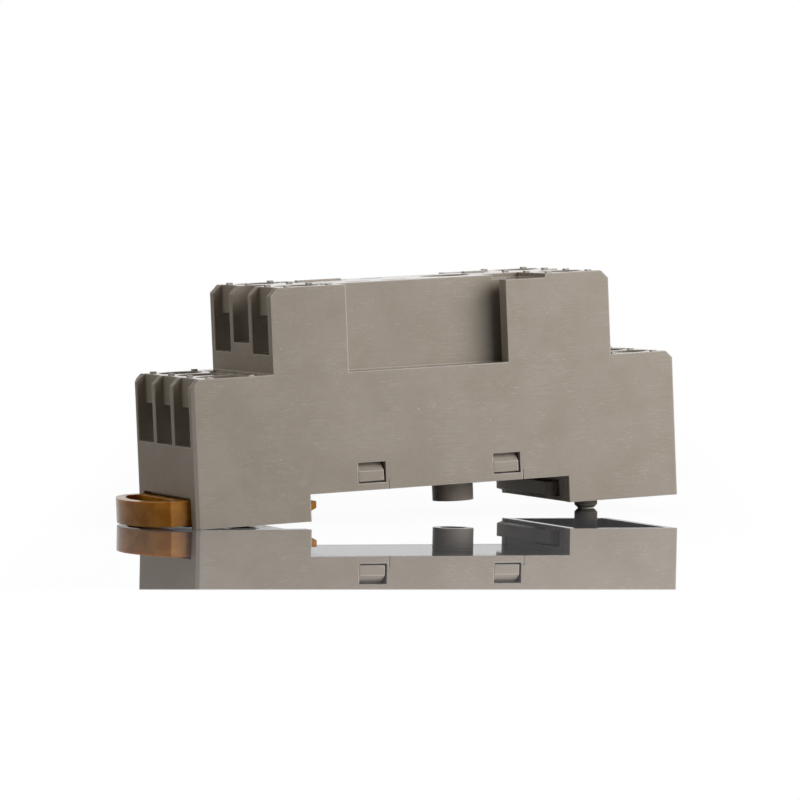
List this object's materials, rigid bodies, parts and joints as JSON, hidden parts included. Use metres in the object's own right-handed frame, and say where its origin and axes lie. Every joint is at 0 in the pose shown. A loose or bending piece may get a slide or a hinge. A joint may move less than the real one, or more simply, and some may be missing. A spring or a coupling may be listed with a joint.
{
  "type": "relay socket",
  "caption": "Stepped relay socket for a 35 mm rail, with recessed screw terminals in two tiers, slotted relay seat, sprung rail clip and locating peg.",
  "frame": {"origin": "middle of the rail seat, on the plane where the rail's flanges bear", "axes": "+X along the socket from the clip end to the peg end, +Y along the rail, +Z out of the rail towards the relay"},
  "size_m": [0.072, 0.0216, 0.0315],
  "materials": {
    "case": "finely textured warm grey moulding",
    "clip": "amber moulding, slightly translucent",
    "strip": "bright stamped brass",
    "receptacle": "spring bronze",
    "clamp": "zinc plated",
    "screw": "nickel plated"
  },
  "bodies": {
    "case": {"housing": "case", "base_cover": "case", "contact_strip_14": "strip", "receptacle_14": "receptacle", "contact_strip_24": "strip", "receptacle_24": "receptacle", "contact_strip_11": "strip", "receptacle_11": "receptacle", "contact_strip_21": "strip", "receptacle_21": "receptacle", "contact_strip_12": "strip", "receptacle_12": "receptacle", "contact_strip_22": "strip", "receptacle_22": "receptacle", "contact_strip_a1": "strip", "receptacle_a1": "receptacle", "contact_strip_a2": "strip", "receptacle_a2": "receptacle"},
    "clip": {"rail_clip": "clip"},
    "clamp_14": {"clamp_plate_14": "clamp"},
    "driver_14": {"screw_14": "screw"},
    "clamp_24": {"clamp_plate_24": "clamp"},
    "driver_24": {"screw_24": "screw"},
    "clamp_11": {"clamp_plate_11": "clamp"},
    "driver_11": {"screw_11": "screw"},
    "clamp_21": {"clamp_plate_21": "clamp"},
    "driver_21": {"screw_21": "screw"},
    "clamp_12": {"clamp_plate_12": "clamp"},
    "driver_12": {"screw_12": "screw"},
    "clamp_22": {"clamp_plate_22": "clamp"},
    "driver_22": {"screw_22": "screw"},
    "clamp_a1": {"clamp_plate_a1": "clamp"},
    "driver_a1": {"screw_a1": "screw"},
    "clamp_a2": {"clamp_plate_a2": "clamp"},
    "driver_a2": {"screw_a2": "screw"}
  },
  "joints": [
    {"name": "clip_pull", "type": "slide", "parent": "case", "child": "clip", "axis": [-1, 0, 0], "range_m": [0, 0.0025], "stiffness_N_per_m": 1500, "springref_m": -0.002},
    {"name": "clamp_lift_14", "type": "slide", "parent": "case", "child": "clamp_14", "axis": [0, 0, 1], "range_m": [0, 0.0042]},
    {"name": "screw_turn_14", "type": "hinge", "parent": "clamp_14", "child": "driver_14", "pos_m": [-0.017, -0.0067, 0.01762], "axis": [0, 0, 1], "range_deg": [0, 3030]},
    {"name": "clamp_lift_24", "type": "slide", "parent": "case", "child": "clamp_24", "axis": [0, 0, 1], "range_m": [0, 0.0042]},
    {"name": "screw_turn_24", "type": "hinge", "parent": "clamp_24", "child": "driver_24", "pos_m": [-0.017, 0.0067, 0.01762], "axis": [0, 0, 1], "range_deg": [0, 3030]},
    {"name": "clamp_lift_11", "type": "slide", "parent": "case", "child": "clamp_11", "axis": [0, 0, 1], "range_m": [0, 0.0042]},
    {"name": "screw_turn_11", "type": "hinge", "parent": "clamp_11", "child": "driver_11", "pos_m": [-0.0279, -0.0067, 0.00672], "axis": [0, 0, 1], "range_deg": [0, 3030]},
    {"name": "clamp_lift_21", "type": "slide", "parent": "case", "child": "clamp_21", "axis": [0, 0, 1], "range_m": [0, 0.0042]},
    {"name": "screw_turn_21", "type": "hinge", "parent": "clamp_21", "child": "driver_21", "pos_m": [-0.0279, 0.0067, 0.00672], "axis": [0, 0, 1], "range_deg": [0, 3030]},
    {"name": "clamp_lift_12", "type": "slide", "parent": "case", "child": "clamp_12", "axis": [0, 0, 1], "range_m": [0, 0.0042]},
    {"name": "screw_turn_12", "type": "hinge", "parent": "clamp_12", "child": "driver_12", "pos_m": [-0.0279, 0, 0.00672], "axis": [0, 0, 1], "range_deg": [0, 3030]},
    {"name": "clamp_lift_22", "type": "slide", "parent": "case", "child": "clamp_22", "axis": [0, 0, 1], "range_m": [0, 0.0042]},
    {"name": "screw_turn_22", "type": "hinge", "parent": "clamp_22", "child": "driver_22", "pos_m": [0.028, 0, 0.00672], "axis": [0, 0, 1], "range_deg": [0, 3030]},
    {"name": "clamp_lift_a1", "type": "slide", "parent": "case", "child": "clamp_a1", "axis": [0, 0, 1], "range_m": [0, 0.0042]},
    {"name": "screw_turn_a1", "type": "hinge", "parent": "clamp_a1", "child": "driver_a1", "pos_m": [0.028, -0.0067, 0.00672], "axis": [0, 0, 1], "range_deg": [0, 3030]},
    {"name": "clamp_lift_a2", "type": "slide", "parent": "case", "child": "clamp_a2", "axis": [0, 0, 1], "range_m": [0, 0.0042]},
    {"name": "screw_turn_a2", "type": "hinge", "parent": "clamp_a2", "child": "driver_a2", "pos_m": [0.028, 0.0067, 0.00672], "axis": [0, 0, 1], "range_deg": [0, 3030]}
  ],
  "couplings": [
    {"joint": "screw_turn_14", "follows": "clamp_lift_14", "rad_per_m": 12566},
    {"joint": "screw_turn_24", "follows": "clamp_lift_24", "rad_per_m": 12566},
    {"joint": "screw_turn_11", "follows": "clamp_lift_11", "rad_per_m": 12566},
    {"joint": "screw_turn_21", "follows": "clamp_lift_21", "rad_per_m": 12566},
    {"joint": "screw_turn_12", "follows": "clamp_lift_12", "rad_per_m": 12566},
    {"joint": "screw_turn_22", "follows": "clamp_lift_22", "rad_per_m": 12566},
    {"joint": "screw_turn_a1", "follows": "clamp_lift_a1", "rad_per_m": 12566},
    {"joint": "screw_turn_a2", "follows": "clamp_lift_a2", "rad_per_m": 12566}
  ]
}
